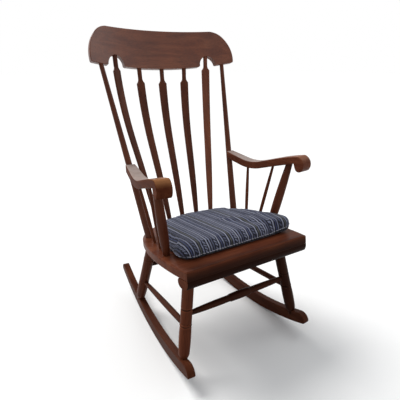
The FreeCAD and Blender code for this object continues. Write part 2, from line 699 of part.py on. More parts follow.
def build():
    parts = {"seat_board": make_seat(), "crest_rail": make_crest()}
    parts["seat_front_roll"] = make_roll()
    parts["rocker_right"] = make_rocker()
    add_leg(parts, "leg_front_right", FRONT_LEG, [(FRONT_GROOVE_Z, groove), (FRONT_BEAD_Z, bead)])
    add_leg(parts, "leg_rear_right", REAR_LEG, [(REAR_BEAD_Z, bead), (REAR_GROOVE_Z, groove)])
    add_back_post(parts)
    for number, (foot, top) in enumerate(zip(SPINDLE_BASES, SPINDLE_TOPS)):
        add_spindle(parts, number, foot, top)
    add_arm(parts)
    add_side_stretcher(parts)
    add_cross_stretcher(parts, "front_stretcher", "leg_front_right", FRONT_LEG, FRONT_STRETCHER_Z)
    add_cross_stretcher(parts, "rear_stretcher", "leg_rear_right", REAR_LEG, REAR_STRETCHER_Z)
    parts["seat_cushion"] = make_cushion()
    for name in [n for n in parts if n.endswith("_right")]:
        parts[name.replace("_right", "_left")] = mirrored(parts[name])
    return parts


def main():
    parts = build()
    box = Part.makeCompound(list(parts.values())).optimalBoundingBox(False, False)
    shift = V(-(box.XMin + box.XMax) / 2.0, -(box.YMin + box.YMax) / 2.0, -box.ZMin)
    print("shift", round(shift.x, 3), round(shift.y, 3), round(shift.z, 3))
    print("size", round(box.XLength, 1), round(box.YLength, 1), round(box.ZLength, 1))
    os.makedirs("parts", exist_ok=True)
    for name, shape in parts.items():
        shape.translate(shift)
        shape.exportStep("parts/%s.step" % name)
        print(name, len(shape.Solids), shape.isValid(), round(shape.Volume / 1000.0, 1))


main()
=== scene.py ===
import math

import bmesh
import bpy
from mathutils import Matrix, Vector
from mathutils.bvhtree import BVHTree


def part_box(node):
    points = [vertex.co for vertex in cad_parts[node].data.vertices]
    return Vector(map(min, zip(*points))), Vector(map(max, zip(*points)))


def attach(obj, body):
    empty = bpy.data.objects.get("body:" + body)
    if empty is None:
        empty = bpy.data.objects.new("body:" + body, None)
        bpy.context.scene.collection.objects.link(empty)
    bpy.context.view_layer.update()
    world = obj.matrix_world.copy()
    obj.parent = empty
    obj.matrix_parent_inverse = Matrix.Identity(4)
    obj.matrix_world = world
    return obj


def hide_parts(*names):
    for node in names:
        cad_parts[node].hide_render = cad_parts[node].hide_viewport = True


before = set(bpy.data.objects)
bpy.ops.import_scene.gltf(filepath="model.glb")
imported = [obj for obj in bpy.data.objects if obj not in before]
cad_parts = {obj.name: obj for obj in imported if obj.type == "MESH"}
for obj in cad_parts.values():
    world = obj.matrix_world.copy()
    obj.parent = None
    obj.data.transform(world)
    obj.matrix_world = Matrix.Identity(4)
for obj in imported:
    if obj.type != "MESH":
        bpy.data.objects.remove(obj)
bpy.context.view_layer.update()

# The part's frame is the design frame moved by this much to the front, in metres.
ORIGIN_Y = 0.315048
SEAT_FRONT_Z = 0.425
SEAT_TILT = math.atan(0.127)    # the seat falls by this slope towards its rear
ASIDE = 0.007                   # the cushion lies this much to the right

# photograph's camera: place and way in the design frame, sensor width and lens in millimetres
CAMERA_AT = (-0.7111, -0.8390, 1.0053)
CAMERA_WAY = (0.4903, 0.8013, -0.3427)
SENSOR, LENS = 36.0, 32.62


def nodes_of(owner):
    """Empty node tree of a material or of the world."""
    owner.use_nodes = True
    owner.node_tree.nodes.clear()
    return owner.node_tree


def add(tree, kind, inputs=None, **settings):
    """One shader node; an input takes a plain value or another node's output."""
    node = tree.nodes.new(kind)
    for name, value in settings.items():
        setattr(node, name, value)
    for name, value in (inputs or {}).items():
        socket = node.inputs[name]
        if isinstance(value, bpy.types.NodeSocket):
            tree.links.new(value, socket)
        else:
            socket.default_value = value
    return node


def end_with(tree, shader, kind="ShaderNodeOutputMaterial"):
    tree.links.new(shader.outputs[0], add(tree, kind).inputs["Surface"])


def reckon(tree, operation, *values):
    """One step of arithmetic on outputs and plain values."""
    return add(tree, "ShaderNodeMath", dict(enumerate(values)), operation=operation).outputs[0]


def parts_of(tree, vector):
    return add(tree, "ShaderNodeSeparateXYZ", {"Vector": vector}).outputs


def ramp(tree, factor, stops, mode="LINEAR"):
    """Colours along a factor, as (position, (r, g, b)) stops."""
    node = add(tree, "ShaderNodeValToRGB", {"Fac": factor})
    node.color_ramp.interpolation = mode
    points = node.color_ramp.elements
    while len(points) < len(stops):
        points.new(0.5)
    for point, (place, colour) in zip(points, stops):
        point.position = place
        point.color = (*colour, 1.0)
    return node.outputs["Color"]


def greys(*stops):
    """Stops of a ramp in grey, from (position, value) pairs."""
    return [(place, (value, value, value)) for place, value in stops]


# numbers of a Mix node's sockets for two colours and their mixture
UNDER, OVER, MIXTURE = 6, 7, 2


def mix(tree, way, factor, under, over):
    """Two colours mixed; the second may be a plain (r, g, b)."""
    node = add(tree, "ShaderNodeMix", {"Factor": factor}, data_type="RGBA", blend_type=way)
    tree.links.new(under, node.inputs[UNDER])
    if isinstance(over, bpy.types.NodeSocket):
        tree.links.new(over, node.inputs[OVER])
    else:
        node.inputs[OVER].default_value = (*over, 1.0)
    return node.outputs[MIXTURE]


def shade(tree, colour, shadow, share=1.0):
    return mix(tree, "MULTIPLY", share, colour, shadow)


def spread(tree, value, low, high, start=0.3, end=0.7):
    """A value from start to end made into one from low to high, and held there beyond them."""
    node = add(tree, "ShaderNodeMapRange", {"Value": value, "From Min": start, "From Max": end,
                                            "To Min": low, "To Max": high})
    return node.outputs["Result"]


def noise(tree, vector, scale, detail=2.0, distortion=0.0):
    node = add(tree, "ShaderNodeTexNoise", {"Vector": vector, "Scale": scale, "Detail": detail,
                                            "Distortion": distortion})
    return node.outputs["Fac"]


# Grain direction, tone and shine of every wooden piece; the longest matching name holds.
ACROSS, DEEP = (1, 0, 0), (0, 1, 0)
BACK = (0.0, 0.38, 0.92)
FRONT_LEG = (0.15, -0.15, -0.97)
LOOKS = {
    "seat_board": (ACROSS, 0.86, 0.10),
    "seat_front_roll": (ACROSS, 0.80, 0.06),
    "crest_rail": (ACROSS, 1.20, 0.85),
    "back_post": ((0.10, 0.37, 0.92), 0.85, 0.3),
    "back_spindle": (BACK, 0.80, 0.25),
    "back_spindle_5": (BACK, 1.40, 0.45),
    "arm_left": (DEEP, 0.84, 0.02),
    "arm_right": (DEEP, 1.12, 0.15),
    "arm_post": ((0.15, -0.1, 0.98), 0.82, 0.15),
    "arm_spindle": ((0.15, 0.1, 0.98), 0.95, 0.15),
    "leg_front": (FRONT_LEG, 0.98, 0.12),
    # painted shade: the right front leg, turned towards the shaded underside, gets a much darker copy of
    # the wood
    "leg_front_right": (FRONT_LEG, 0.24, 0.10),
    "leg_rear": ((0.05, 0.35, -0.93), 0.78, 0.12),
    # painted shade: the stretchers under the seat get darker copies of the wood
    "side_stretcher": (DEEP, 0.50, 0.1),
    "front_stretcher": (ACROSS, 0.32, 0.08),
    "rear_stretcher": (ACROSS, 0.32, 0.08),
    "rocker_left": (DEEP, 0.52, 0.06),
    "rocker_right": (DEEP, 0.50, 0.10),
}

# finish of the wood: stops at tone 1, scales of the grain along and across it, and rounding in metres
FIGURE = [
    (0.30, (0.118, 0.0305, 0.0145)),
    (0.50, (0.160, 0.0450, 0.0205)),
    (0.72, (0.205, 0.0650, 0.0300)),
]
PORES = greys((0.34, 0.70), (0.50, 0.97), (0.75, 1.0))
STAIN = [(0.32, (0.78, 0.74, 0.74)), (0.62, (1.0, 1.0, 1.0))]
FIGURE_SCALE, FIBRE_SCALE, BLOTCH_SCALE = (2.6, 38, 38), (16, 430, 430), 9.0
SEED_SHIFT = (0.37, 0.19, 0.53)
WORN = (0.27, 0.100, 0.048)
CREST_WEAR, EDGE_WEAR = 0.08, 0.42
WEAR_FULL, WEAR_NONE = 0.86, 0.985
WEAR_RADIUS, EDGE_RADIUS, BEVEL_SAMPLES = 0.0035, 0.0016, 4

# seat's rounded front, with painted shade on it, in metres in the part's frame: its lower and upper
# height, the front and rear of its rim, and the rim's left end, which is kept light; then the normals
# that count as facing the front and as not
FRONT_LOW, FRONT_TOP = 0.385, 0.427
RIM_FRONT, RIM_REAR = -0.314, -0.262
RIM_LEFT, RIM_INNER = -0.255, -0.190
FACES_FRONT, FACES_ELSEWHERE = -0.75, -0.35

# painted light on the arms, a pale reflection on the top and an amber highlight on the scroll: in metres
# behind the arm's front end, with the slopes on which they show
PAINTED_SHEEN, PALE_SHARE = (0.56, 0.48, 0.44), 0.62
PALE_START, PALE_FULL, PALE_SLOPE = 0.07, 0.14, 0.70
AMBER_HIGHLIGHT = (0.38, 0.175, 0.072)
AMBER_SHARES = {"arm_left": 0.66, "arm_right": 0.22}
AMBER_FULL, AMBER_END, AMBER_SLOPE = 0.03, 0.12, 0.35
FACES_UP, PATCH_SCALE = 0.93, 22.0

# turned grooves of the front legs, drawn as painted shade with a painted highlight beside it: heights
# above the floor and reach to each side, in metres
LEG_SCORES, SCORE_REACH = (0.2510, 0.1945), 0.007


def scaled(values, factor):
    return tuple(value * factor for value in values)


def look_of(name):
    """Grain direction, tone and shine of a wooden piece; the grain of left pieces is mirrored."""
    key = max((k for k in LOOKS if name.startswith(k)), key=len)
    axis, tone, shine = LOOKS[key]
    if name.endswith("_left"):
        axis = (-axis[0], axis[1], axis[2])
    return axis, tone, shine


def grain(tree, place, axis, seed):
    """Broad figure and fine fibre, drawn out along the axis and different on every piece."""
    turn = Vector(axis).rotation_difference(Vector(ACROSS)).to_euler()
    along = add(tree, "ShaderNodeMapping", {"Vector": place, "Rotation": turn}).outputs["Vector"]
    shift = scaled(SEED_SHIFT, seed)
    broad, fine = [add(tree, "ShaderNodeMapping", {"Vector": along, "Location": shift, "Scale": scale})
                   for scale in (FIGURE_SCALE, FIBRE_SCALE)]
    figure = noise(tree, broad.outputs["Vector"], 1.0, detail=4.0, distortion=0.9)
    fibre = noise(tree, fine.outputs["Vector"], 1.0, distortion=0.2)
    return figure, fibre


def rounded(tree, radius):
    """Direction of the surface as if its edges were rounded by this radius."""
    return add(tree, "ShaderNodeBevel", {"Radius": radius}, samples=BEVEL_SAMPLES).outputs["Normal"]


def wear_edges(tree, colour, normal, tone, share):
    """Lighter wood on the edges, which show by how far a rounding would turn the surface."""
    soft = rounded(tree, WEAR_RADIUS)
    alike = add(tree, "ShaderNodeVectorMath", {0: soft, 1: normal}, operation="DOT_PRODUCT")
    edge = spread(tree, alike.outputs["Value"], share, 0.0, WEAR_FULL, WEAR_NONE)
    return mix(tree, "MIX", edge, colour, scaled(WORN, tone))


def paint_front_shade(tree, colour, place, normal):
    """Painted shade on the seat's rounded front, darker from its top downwards, and on its rim; the rim's
    left end is a little lighter instead, as a painted highlight.
    """
    spot = parts_of(tree, place)
    facing = spread(tree, parts_of(tree, normal)["Y"], 1.0, 0.0, FACES_FRONT, FACES_ELSEWHERE)
    # painted shade on the faces towards the front, darkest at the bottom
    down = ramp(tree, spread(tree, spot["Z"], 0.0, 1.0, FRONT_LOW, FRONT_TOP),
                greys((0.0, 0.17), (0.30, 0.22), (0.62, 0.38), (1.0, 1.05)))
    # painted shade on the rim along the front of the top
    rim = ramp(tree, spread(tree, spot["Y"], 0.0, 1.0, RIM_FRONT, RIM_REAR),
               greys((0.0, 0.50), (0.30, 0.72), (1.0, 1.0)))
    # painted highlight: the left end is kept lit and made a little lighter
    end = ramp(tree, spread(tree, spot["X"], 0.0, 1.0, RIM_LEFT, RIM_INNER),
               greys((0.0, 1.15), (1.0, 0.0)))
    rim = mix(tree, "LIGHTEN", 1.0, rim, end)
    return shade(tree, colour, mix(tree, "MIX", facing, rim, down))


def paint_arm_highlights(tree, colour, place, normal, name):
    """Painted reflection, pale, on the top towards the back, and painted highlight, amber, on the scroll
    at the front; both only on faces turned up.
    """
    front = min(v.co.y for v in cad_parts[name].data.vertices)
    along = parts_of(tree, place)["Y"]
    up = parts_of(tree, normal)["Z"]
    patch = spread(tree, noise(tree, place, PATCH_SCALE, detail=3.0), 0.75, 1.0, start=0.35, end=0.6)
    rear = spread(tree, along, 0.0, PALE_SHARE, front + PALE_START, front + PALE_FULL)
    scroll = spread(tree, along, AMBER_SHARES[name], 0.0, front + AMBER_FULL, front + AMBER_END)
    # painted light: a pale reflection on the rear of the top, an amber highlight on the scroll
    for length, slope, lit_colour in ((rear, PALE_SLOPE, PAINTED_SHEEN), (scroll, AMBER_SLOPE, AMBER_HIGHLIGHT)):
        top = spread(tree, up, 0.0, 1.0, slope, FACES_UP)
        share = reckon(tree, "MULTIPLY", top, reckon(tree, "MULTIPLY", length, patch))
        colour = mix(tree, "MIX", share, colour, lit_colour)
    return colour


def paint_leg_grooves(tree, colour, place):
    """Two fine turned grooves in colour only: painted shade in the cut and a painted highlight beside it.
    """
    height = parts_of(tree, place)["Z"]
    for level in LEG_SCORES:
        away = reckon(tree, "ABSOLUTE", reckon(tree, "SUBTRACT", height, level))
        # painted shade in the groove, painted highlight just beside it
        ring = ramp(tree, spread(tree, away, 0.0, 1.0, 0.0, SCORE_REACH),
                    greys((0.0, 0.30), (0.22, 0.40), (0.42, 1.45), (1.0, 1.0)))
        colour = shade(tree, colour, ring)
    return colour


def lacquer(tree, colour, blotch, fibre, shine):
    """Half-matt finish over open pores, with every edge a little rounded."""
    rough = spread(tree, blotch, 0.33, 0.47)
    bump = add(tree, "ShaderNodeBump", {"Strength": 0.22, "Distance": 0.0006, "Height": fibre,
                                        "Normal": rounded(tree, EDGE_RADIUS)})
    return add(tree, "ShaderNodeBsdfPrincipled",
               {"Base Color": colour, "Roughness": rough, "Normal": bump.outputs["Normal"],
                "Specular IOR Level": 0.36 * shine, "Coat Weight": 0.22 * shine,
                "Coat Roughness": 0.26})


def wood(name, seed):
    """Stained and lacquered wood of one piece, with its worn and shaded places."""
    axis, tone, shine = look_of(name)
    material = bpy.data.materials.new("wood_" + name)
    tree = nodes_of(material)
    place = add(tree, "ShaderNodeTexCoord").outputs["Object"]
    normal = add(tree, "ShaderNodeNewGeometry").outputs["Normal"]
    figure, fibre = grain(tree, place, axis, seed)
    blotch = noise(tree, place, BLOTCH_SCALE, detail=3.0)

    colour = ramp(tree, figure, [(at, scaled(stain, tone)) for at, stain in FIGURE])
    colour = shade(tree, colour, ramp(tree, fibre, PORES))
    colour = shade(tree, colour, ramp(tree, blotch, STAIN))
    wear = CREST_WEAR if name == "crest_rail" else EDGE_WEAR
    colour = wear_edges(tree, colour, normal, tone, wear)
    # painted shade on the seat's front
    if name.startswith("seat"):
        colour = paint_front_shade(tree, colour, place, normal)
    # painted shade and highlight in the grooves of the front legs
    if name.startswith("leg_front"):
        colour = paint_leg_grooves(tree, colour, place)
    # painted reflection and highlight on the arms
    if name in AMBER_SHARES:
        colour = paint_arm_highlights(tree, colour, place, normal, name)
    end_with(tree, lacquer(tree, colour, blotch, fibre, shine))
    return material


def dress_wood():
    names = sorted(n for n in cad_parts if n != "seat_cushion")
    for seed, name in enumerate(names, start=1):
        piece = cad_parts[name]
        material = wood(name, seed)
        if not piece.material_slots:
            piece.data.materials.append(None)
        for place in piece.material_slots:
            place.link = "OBJECT"
            place.material = material


# Woven stripes across the cushion: width in millimetres, colour, and whether it is a chain row.
LIGHT, PALE, MIST = (0.36, 0.38, 0.50), (0.235, 0.255, 0.375), (0.095, 0.105, 0.185)
BLUE, OLIVE = (0.060, 0.075, 0.18), (0.095, 0.095, 0.080)
NIGHT, COAL = (0.009, 0.010, 0.020), (0.020, 0.020, 0.026)
STRIPES = [
    (4.2, LIGHT, 0), (5.4, NIGHT, 0), (4.2, PALE, 0), (5.0, COAL, 0), (4.2, MIST, 0), (5.0, NIGHT, 0),
    (8.6, PALE, 1), (4.6, NIGHT, 0), (4.2, LIGHT, 0), (5.2, COAL, 0), (4.0, BLUE, 0), (4.8, NIGHT, 0),
    (4.2, PALE, 0), (5.4, COAL, 0), (8.2, MIST, 1), (4.8, NIGHT, 0), (4.2, LIGHT, 0), (5.4, NIGHT, 0),
    (4.2, OLIVE, 0), (4.8, COAL, 0), (4.2, PALE, 0), (5.2, NIGHT, 0), (8.2, PALE, 1), (4.8, COAL, 0),
]
REPEAT = sum(width for width, _, _ in STRIPES) / 1000.0

# cloth, in metres: how far a stripe strays, length of a chain link and of a stitch, and the heights
# against the seam between which the shade below it ends; then how the links lean, where a gap between
# two dashes ends, the scales of the patterns, and how much the uneven yarn shows in colour and height
WANDER = 0.0014
CHAIN_LINK, STITCH = 0.0120, 0.012
SHADE_FULL, SHADE_END = -0.0026, -0.0008
CHAIN_LEAN, DASH_END = 0.8, 0.92
WEAVE_SCALE, RIB_SCALE, THREAD_SCALE = 190.0, 100.0, (620, 380, 380)
STRAY_SCALE, FADE_SCALE = 14.0, 6.0
SLUB_SHADE, SLUB_HEIGHT = 0.8, 1.2
STITCH_COLOUR = (0.50, 0.51, 0.56)


def stripe_stops(kind):
    """Stops of one repeat, for the colours or for where the chain rows are."""
    stops, at = [], 0.0
    for width, colour, chain in STRIPES:
        stops.append((at, colour if kind == "colour" else (float(chain),) * 3))
        at += width / 1000.0 / REPEAT
    return stops


def dashes(tree, distance, length, on, off, fall, low):
    """Row of dashes: each is on up to fall, off from low, and on again at its end."""
    part = reckon(tree, "FRACT", reckon(tree, "MULTIPLY", distance, 1.0 / length))
    return ramp(tree, part, greys((0.0, on), (fall, on), (low, off), (DASH_END, off), (1.0, on)))


def striped(tree, flat, across, along):
    """Stripes that stray a little; those of the chain rows are links that lean like stitches."""
    stray = spread(tree, noise(tree, flat, STRAY_SCALE), -WANDER, WANDER)
    moved = reckon(tree, "ADD", across, stray)
    part = reckon(tree, "FRACT", reckon(tree, "MULTIPLY", moved, 1.0 / REPEAT))
    colour = ramp(tree, part, stripe_stops("colour"), "CONSTANT")
    rows = ramp(tree, part, stripe_stops("chain"), "CONSTANT")
    lean = reckon(tree, "MULTIPLY_ADD", moved, CHAIN_LEAN, along)
    links = dashes(tree, lean, CHAIN_LINK, on=1.0, off=0.12, fall=0.42, low=0.52)
    return mix(tree, "MIX", rows, colour, shade(tree, colour, links))


def woven_height(tree, flat, slub):
    """Height of the crossing threads, uneven like their yarn."""
    weave = add(tree, "ShaderNodeTexWave", {"Vector": flat, "Scale": WEAVE_SCALE, "Distortion": 1.0},
                bands_direction="Y").outputs["Fac"]
    rib = add(tree, "ShaderNodeTexWave", {"Vector": flat, "Scale": RIB_SCALE, "Distortion": 0.5},
              bands_direction="X").outputs["Fac"]
    return reckon(tree, "MULTIPLY_ADD", slub, SLUB_HEIGHT, reckon(tree, "ADD", weave, rib))


def cloth(name, stitched=False):
    """Striped cloth, with painted shade below the seam; that of the sewn edge has light stitches too."""
    material = bpy.data.materials.new(name)
    tree = nodes_of(material)
    flat = add(tree, "ShaderNodeAttribute", attribute_name="cloth_place").outputs["Vector"]
    spot = parts_of(tree, flat)
    across, along = spot["X"], spot["Y"]
    colour = striped(tree, flat, across, along)

    thread = add(tree, "ShaderNodeMapping", {"Vector": flat, "Scale": THREAD_SCALE}).outputs["Vector"]
    slub = noise(tree, thread, 1.0)
    colour = shade(tree, colour, ramp(tree, slub, greys((0.3, 0.6), (0.7, 1.15))), share=SLUB_SHADE)
    fade = noise(tree, flat, FADE_SCALE)
    colour = shade(tree, colour, ramp(tree, fade, greys((0.3, 0.84), (0.7, 1.0))))
    # painted shade below the seam, where the cloth turns under
    below = spread(tree, spot["Z"], 0.0, 1.0, SHADE_FULL, SHADE_END)
    colour = shade(tree, colour, ramp(tree, below, greys((0.0, 0.10), (1.0, 1.0))))
    if stitched:
        around = reckon(tree, "ADD", across, along)
        stitches = dashes(tree, around, STITCH, on=0.85, off=0.0, fall=0.40, low=0.55)
        colour = mix(tree, "MIX", stitches, colour, STITCH_COLOUR)

    height = woven_height(tree, flat, slub)
    bump = add(tree, "ShaderNodeBump", {"Strength": 0.5, "Distance": 0.0008, "Height": height})
    rough = spread(tree, slub, 0.78, 0.96)
    end_with(tree, add(tree, "ShaderNodeBsdfPrincipled",
                       {"Base Color": colour, "Roughness": rough, "Normal": bump.outputs["Normal"],
                        "Specular IOR Level": 0.2, "Sheen Weight": 0.25, "Sheen Roughness": 0.5,
                        "Sheen Tint": (0.80, 0.84, 1.0, 1.0)}))
    return material


def on_seat(x, u, w):
    """A point from the seat's own plane, across, rearward and up, in metres in the part's frame."""
    y = u * math.cos(SEAT_TILT) + w * math.sin(SEAT_TILT)
    z = SEAT_FRONT_Z - u * math.sin(SEAT_TILT) + w * math.cos(SEAT_TILT)
    return Vector((x + ASIDE, y - ORIGIN_Y, z))


def off_seat(point):
    """The same point back in the seat's own plane."""
    y, z = point[1] + ORIGIN_Y, point[2] - SEAT_FRONT_Z
    u = y * math.cos(SEAT_TILT) - z * math.sin(SEAT_TILT)
    w = y * math.sin(SEAT_TILT) + z * math.cos(SEAT_TILT)
    return point[0] - ASIDE, u, w


# cushion's plan, in metres in the seat's plane
FRONT_U, REAR_U, MIDDLE_U = 0.050, 0.440, 0.245
FRONT_HALF, REAR_HALF = 0.233, 0.182
FRONT_BOW, REAR_BOW = 0.002, 0.024
# radius of the front corner and how far it points outwards
LEFT_CORNER, RIGHT_CORNER = (0.050, 0.0), (0.030, 0.008)
REAR_CORNER, REAR_TURN = 0.052, 72
# sides of the cushion from its front corners to its rear corners, clear of the arm members
LEFT_SIDE = [
    (0.240, 0.060), (0.234, 0.104), (0.229, 0.132), (0.223, 0.162), (0.215, 0.225),
    (0.204, 0.295), (0.194, 0.335), (0.185, 0.364), (0.165, 0.392),
]
RIGHT_SIDE = [
    (0.240, 0.060), (0.234, 0.104), (0.222, 0.132), (0.2115, 0.162), (0.2065, 0.225),
    (0.199, 0.295), (0.190, 0.335), (0.182, 0.364), (0.165, 0.392),
]
# points on each stretch of half the outline
FRONT_STEPS, CORNER_STEPS, SIDE_STEPS, REAR_CORNER_STEPS, REAR_STEPS = 10, 10, 5, 9, 12


def arc(cx, cu, radius, start, end, count):
    """Points on a round stretch, from one angle to another in degrees."""
    steps = [math.radians(start + (end - start) * i / count) for i in range(count + 1)]
    return [(cx + radius * math.cos(t), cu + radius * math.sin(t)) for t in steps]


def through(a, b, c, d, t):
    """Point between b and c on a smooth line through all four."""
    def one(p, q, r, s):
        square = 2 * p - 5 * q + 4 * r - s
        cube = 3 * q - p - 3 * r + s
        return 0.5 * (2 * q + (r - p) * t + square * t * t + cube * t ** 3)
    return one(a[0], b[0], c[0], d[0]), one(a[1], b[1], c[1], d[1])


def half_outline(side, corner, point):
    """Half of the cushion's plan from the front middle to the rear middle."""
    rear = REAR_U - REAR_BOW
    flat = FRONT_HALF + point - corner
    path = [(i / FRONT_STEPS * flat, FRONT_U + FRONT_BOW * i / FRONT_STEPS) for i in range(FRONT_STEPS)]
    path += arc(flat, FRONT_U + FRONT_BOW + corner, corner, -90, 0, CORNER_STEPS)
    for a, b, c, d in zip(side, side[1:], side[2:], side[3:]):
        path += [through(a, b, c, d, i / SIDE_STEPS) for i in range(1, SIDE_STEPS + 1)]
    path.pop()
    path += arc(REAR_HALF - REAR_CORNER, rear - REAR_CORNER, REAR_CORNER,
                0, REAR_TURN, REAR_CORNER_STEPS)
    end_x, end_u = path[-1]
    for i in range(1, REAR_STEPS):
        t = i / REAR_STEPS
        path.append((end_x * (1 - t), end_u + (REAR_U - end_u) * math.sin(t * math.pi / 2.0)))
    path.append((0.0, REAR_U))
    return path


def outline():
    """Closed plan of the cushion: the right half, then the left one with its own side, mirrored."""
    left = half_outline(LEFT_SIDE, *LEFT_CORNER)[1:-1]
    return half_outline(RIGHT_SIDE, *RIGHT_CORNER) + [(-x, u) for x, u in reversed(left)]


def inward(path):
    """Unit vector into the plan at each point of the closed path."""
    ways = []
    for i in range(len(path)):
        (ax, au), (bx, bu) = path[i - 1], path[(i + 1) % len(path)]
        dx, du = bx - ax, bu - au
        size = math.hypot(dx, du)
        ways.append((-du / size, dx / size))
    return ways


# inset from the outline and height above the seat, from the underside to the crown
LAYERS = [(0.019, 0.0012), (0.009, 0.0040), (0.003, 0.0090), (0.0005, 0.0165), (0.0005, 0.0255),
          (0.0060, 0.0335), (0.018, 0.0388), (0.045, 0.0422), (0.085, 0.0440)]
CROWN = 0.0448

# The right side stands up: its height and its place, how much its ridge runs inwards on the way back,
# and how far the rise reaches to each side, rearward and forward.
LIFT_HEIGHT, LIFT_POWER = 0.0225, 1.2
LIFT_X, LIFT_U, LIFT_LEAN = 0.228, 0.10, 0.08
LIFT_ASIDE, LIFT_REARWARD, LIFT_FORWARD = 0.105, 0.29, 0.065
# share of the rise at the underside, and its growth per metre of height
LIFT_LEAST, LIFT_GROWTH = 0.4, 30.0
# Layers of the shoulder, between these heights, are inset less where the side stands up.
SHOULDER_LOW, SHOULDER_HIGH, SHOULDER_HOLD = 0.030, 0.041, 24.0


def lift(x, u):
    """How far the right side stands up from the seat, most at its front corner."""
    across = (x - LIFT_X + LIFT_LEAN * max(u - LIFT_U, 0.0)) / LIFT_ASIDE
    along = (u - LIFT_U) / (LIFT_REARWARD if u > LIFT_U else LIFT_FORWARD)
    return LIFT_HEIGHT * max(0.0, 1.0 - across * across - along * along) ** LIFT_POWER


def raised(x, u, level):
    return on_seat(x, u, level + lift(x, u) * min(LIFT_LEAST + level * LIFT_GROWTH, 1.0))


def layer_inset(inset, level, x, u):
    if SHOULDER_LOW < level < SHOULDER_HIGH:
        return inset * (1.0 - SHOULDER_HOLD * lift(x, u))
    return inset


def next_ones(ring):
    return ring[1:] + ring[:1]


def cushion_blank():
    """Closed slab, slightly smaller than the cushion, whose layers follow its plan."""
    path = outline()
    ways = inward(path)
    mesh = bmesh.new()
    rings = []
    for inset, level in LAYERS:
        ring = []
        for (x, u), (nx, nu) in zip(path, ways):
            held = layer_inset(inset, level, x, u)
            ring.append(mesh.verts.new(raised(x + nx * held, u + nu * held, level)))
        rings.append(ring)
    for low, high in zip(rings, rings[1:]):
        for corners in zip(low, next_ones(low), next_ones(high), high):
            mesh.faces.new(corners)
    for ring, level in ((rings[0], LAYERS[0][1]), (rings[-1], CROWN)):
        middle = mesh.verts.new(on_seat(0.0, MIDDLE_U, level))
        for here, after in zip(ring, next_ones(ring)):
            mesh.faces.new((here, after, middle))
    bmesh.ops.recalc_face_normals(mesh, faces=mesh.faces)
    data = bpy.data.meshes.new("cushion_body")
    mesh.to_mesh(data)
    mesh.free()
    return data


def show(data, name):
    """New piece, lamp or camera in the scene."""
    piece = bpy.data.objects.new(name, data)
    bpy.context.scene.collection.objects.link(piece)
    return piece


def finished_mesh(piece):
    """New mesh of the piece as its modifiers or its curve settings leave it."""
    bpy.context.view_layer.update()
    graph = bpy.context.evaluated_depsgraph_get()
    return bpy.data.meshes.new_from_object(piece.evaluated_get(graph))


def surface_of(piece):
    """Search tree of the piece's surface."""
    return BVHTree.FromPolygons([v.co for v in piece.data.vertices],
                                [tuple(f.vertices) for f in piece.data.polygons])


def remesh(piece, size):
    """Even mesh of small faces in place of the piece's own."""
    step = piece.modifiers.new("remesh", "REMESH")
    step.mode = "VOXEL"
    step.voxel_size = size
    data = finished_mesh(piece)
    piece.modifiers.clear()
    piece.data = data


# swelling of the cloth, in metres: size of its faces, heights below which it is held and held firmly,
# with the share of the looser hold, and the most that a point moves, with the frames that it takes
VOXEL = 0.0050
HELD_BELOW, FIRM_BELOW, LOOSE_HOLD = 0.006, 0.003, 0.6
MOST_MOVE, SWELL_FRAMES = 0.009, 20


def hold_underside(piece, group_name):
    """Marks the underside as held on the seat, less firmly where it turns up."""
    held = piece.vertex_groups.new(name=group_name)
    for v in piece.data.vertices:
        height = off_seat(v.co)[2]
        if height < HELD_BELOW:
            held.add([v.index], 1.0 if height < FIRM_BELOW else LOOSE_HOLD, "REPLACE")


def press_cloth(piece, group_name):
    """Cloth simulation with inner pressure and no weight."""
    sim = piece.modifiers.new("cloth", "CLOTH")
    sim.settings.quality = 6
    sim.settings.mass = 0.25
    sim.settings.tension_stiffness = 15
    sim.settings.compression_stiffness = 15
    sim.settings.shear_stiffness = 5
    sim.settings.bending_stiffness = 0.5
    sim.settings.shrink_min = -0.025
    sim.settings.use_pressure = True
    sim.settings.uniform_pressure_force = 4.0
    sim.settings.effector_weights.gravity = 0.0
    sim.settings.vertex_group_mass = group_name
    sim.point_cache.frame_start = 1
    sim.point_cache.frame_end = SWELL_FRAMES
    sim.collision_settings.use_collision = False


def inflate(piece):
    """Lets the cloth swell under inner pressure, no point by more than the most it may move."""
    start = [v.co.copy() for v in piece.data.vertices]
    hold_underside(piece, "held")
    press_cloth(piece, "held")
    for number in range(1, SWELL_FRAMES + 1):
        bpy.context.scene.frame_set(number)
    places = [v.co.copy() for v in finished_mesh(piece).vertices]
    piece.modifiers.clear()
    bpy.context.scene.frame_set(1)
    for v, before, after in zip(piece.data.vertices, start, places):
        move = after - before
        if move.length > MOST_MOVE:
            move *= MOST_MOVE / move.length
        v.co = before + move


# seam of the cushion, in metres: its height, its rise to the right and with the lifted side, how far and
# how wide it draws the cloth in, and the distance from the middle within which that fades
SEAM_LEVEL, SEAM_RISE, SEAM_LIFT = 0.0125, 0.001, 1.1
SEAM_RISE_START, SEAM_RISE_LENGTH = -0.02, 0.24
SEAM_PINCH, SEAM_WIDTH, PINCH_FADE = 0.0030, 0.0035, 0.15
# gaps to the seat and to the posts and spindles beside the cushion, how near these are looked for, and
# how far the cushion may stand beyond the box of its solid
REST_GAP, BODY_GAP, WELT_GAP = 0.0008, 0.0025, 0.001
BESIDE, BESIDE_REACH = ("arm_post", "arm_spindle", "back_"), 0.025
BOX_MARGIN = 0.007


def clamped(value, low=0.0, high=1.0):
    return min(max(value, low), high)


def seam_height(x, u):
    """Height of the seam above the seat; it rises towards the right front corner."""
    t = clamped((x - SEAM_RISE_START) / SEAM_RISE_LENGTH)
    return SEAM_LEVEL + SEAM_RISE * t * t + SEAM_LIFT * lift(x, u)


